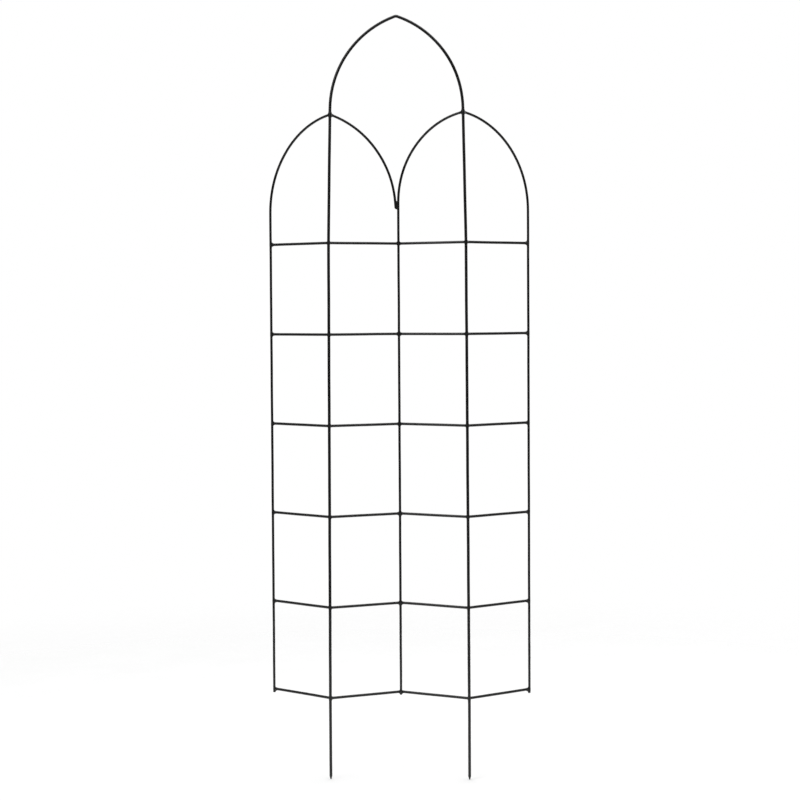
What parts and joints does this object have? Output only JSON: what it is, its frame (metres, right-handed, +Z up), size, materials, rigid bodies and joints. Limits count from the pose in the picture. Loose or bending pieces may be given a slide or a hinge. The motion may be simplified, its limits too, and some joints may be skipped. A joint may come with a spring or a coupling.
{
  "type": "garden trellis panel",
  "caption": "Free-standing folded garden trellis of welded round rod, with pointed arches on top and two ground spikes.",
  "frame": {"origin": "centre of the trellis in plan, at the level of the spike tips", "axes": "+Z up along the legs, +X to the right seen from the front, +Y to the back; the legs are at the front"},
  "size_m": [0.6348, 0.1276, 1.8295],
  "materials": {
    "coated_rod": "satin",
    "coated_weld": "satin"
  },
  "bodies": {
    "root": {"leg_hoop": "coated_rod", "left_arch_rod": "coated_rod", "right_arch_rod": "coated_rod", "crossbar_1": "coated_rod", "crossbar_2": "coated_rod", "crossbar_3": "coated_rod", "crossbar_4": "coated_rod", "crossbar_5": "coated_rod", "crossbar_6": "coated_rod", "crossbar_1_welds": "coated_weld", "crossbar_2_welds": "coated_weld", "crossbar_3_welds": "coated_weld", "crossbar_4_welds": "coated_weld", "crossbar_5_welds": "coated_weld", "crossbar_6_welds": "coated_weld", "left_peak_weld": "coated_weld", "right_peak_weld": "coated_weld", "arch_foot_weld": "coated_weld"}
  },
  "joints": []
}
